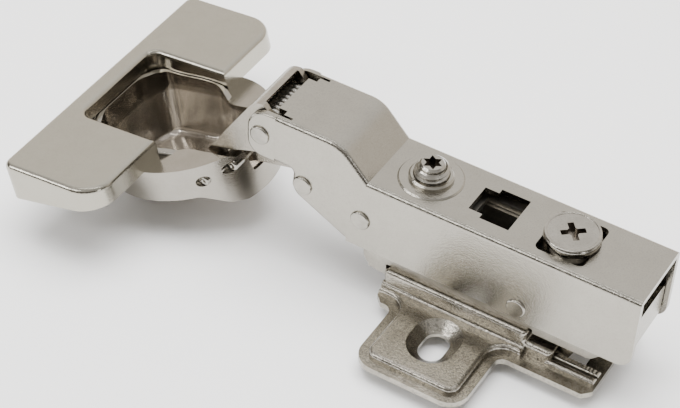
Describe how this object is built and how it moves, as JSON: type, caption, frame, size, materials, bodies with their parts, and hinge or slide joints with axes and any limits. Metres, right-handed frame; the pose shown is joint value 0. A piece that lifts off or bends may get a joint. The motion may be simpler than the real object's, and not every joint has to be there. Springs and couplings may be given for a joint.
{
  "type": "concealed cup hinge",
  "caption": "Clip-on concealed furniture hinge: drawn 35 mm door cup with push-fit cover, cranked sprung arm with adjusting screws, and a winged screw-on mounting plate, open.",
  "frame": {"origin": "on the cabinet panel's face, midway between the mounting plate's two screw slots", "axes": "+X along the arm towards its release lever, +Y across the arm, +Z away from the panel"},
  "size_m": [0.1223, 0.0642, 0.0339],
  "materials": {
    "plate_nickel": "nickel-plated pressed steel, semi-bright",
    "inner_nickel": "nickel-plated pressed steel",
    "arm_nickel": "nickel-plated pressed steel, satin-bright",
    "screw_nickel": "nickel-plated turned and headed steel",
    "pin_steel": "nickel-plated drawn steel",
    "spring_steel": "plated spring wire",
    "link_nickel": "bright nickel-plated pressed steel",
    "damper_plastic": "grey moulded plastic",
    "cup_nickel": "bright nickel-plated deep-drawn steel",
    "cover_nickel": "bright nickel-plated pressed cap"
  },
  "bodies": {
    "base": {"mounting_plate": "plate_nickel", "carrier": "inner_nickel", "lever_pin": "pin_steel", "lever_spring": "spring_steel"},
    "lever": {"clip_lever": "arm_nickel"},
    "bracket": {"adjuster_bracket": "inner_nickel"},
    "depth_screw": {"depth_screw": "screw_nickel"},
    "arm": {"arm": "arm_nickel", "side_nut": "arm_nickel", "outer_link_pin": "pin_steel", "inner_link_pin": "pin_steel", "damper_pin": "pin_steel", "rear_rivet": "pin_steel", "damper_cylinder": "damper_plastic", "closing_spring": "spring_steel"},
    "side_screw": {"side_screw": "screw_nickel"},
    "outer_link": {"outer_link": "link_nickel"},
    "cup": {"cup": "cup_nickel", "cup_cover": "cover_nickel", "cup_outer_pin": "pin_steel", "cup_inner_pin": "pin_steel"},
    "inner_link": {"inner_link": "link_nickel"},
    "damper_rod": {"damper_rod": "pin_steel"}
  },
  "joints": [
    {"name": "depth_slide", "type": "slide", "parent": "base", "child": "bracket", "axis": [1, 0, 0], "range_m": [-0.00145, 0.00145]},
    {"name": "depth_turn", "type": "hinge", "parent": "bracket", "child": "depth_screw", "pos_m": [0.01757, 0, 0.0253], "axis": [0, 0, 1], "range_deg": [-60, 60]},
    {"name": "side_tilt", "type": "hinge", "parent": "bracket", "child": "arm", "pos_m": [0.012, 0, 0.0114], "axis": [0, -1, 0], "range_deg": [-2, 2]},
    {"name": "side_turn", "type": "hinge", "parent": "arm", "child": "side_screw", "pos_m": [-0.01153, 0, 0.0253], "axis": [0, 0, 1], "range_deg": [-370, 370]},
    {"name": "lever_press", "type": "hinge", "parent": "base", "child": "lever", "pos_m": [0.0266, 0, 0.013], "axis": [0, -1, 0], "range_deg": [0, 7], "stiffness_Nm_per_rad": 0.3, "springref_deg": -5.73, "deforming": ["lever_spring"]},
    {"name": "outer_swing", "type": "hinge", "parent": "arm", "child": "outer_link", "pos_m": [-0.0439, 0, 0.0261], "axis": [0, -1, 0], "range_deg": [0, 21.87]},
    {"name": "door_swing", "type": "hinge", "parent": "outer_link", "child": "cup", "pos_m": [-0.05382, 0, 0.01241], "axis": [0, 1, 0], "range_deg": [0, 127.49], "deforming": ["closing_spring"]},
    {"name": "inner_swing", "type": "hinge", "parent": "cup", "child": "inner_link", "pos_m": [-0.05057, 0, 0.01415], "axis": [0, -1, 0], "range_deg": [0, 139.59]},
    {"name": "damper_slide", "type": "slide", "parent": "arm", "child": "damper_rod", "axis": [1, 0, 0], "range_m": [0, 0.003]}
  ],
  "couplings": [
    {"joint": "depth_turn", "follows": "depth_slide", "rad_per_m": 719.42},
    {"joint": "side_turn", "follows": "side_tilt", "ratio": 184.8},
    {"joint": "outer_swing", "follows": "door_swing", "ratio": 0.17154},
    {"joint": "inner_swing", "follows": "door_swing", "ratio": 1.0949},
    {"joint": "damper_slide", "follows": "door_swing", "m_per_rad": 0.0013482}
  ]
}
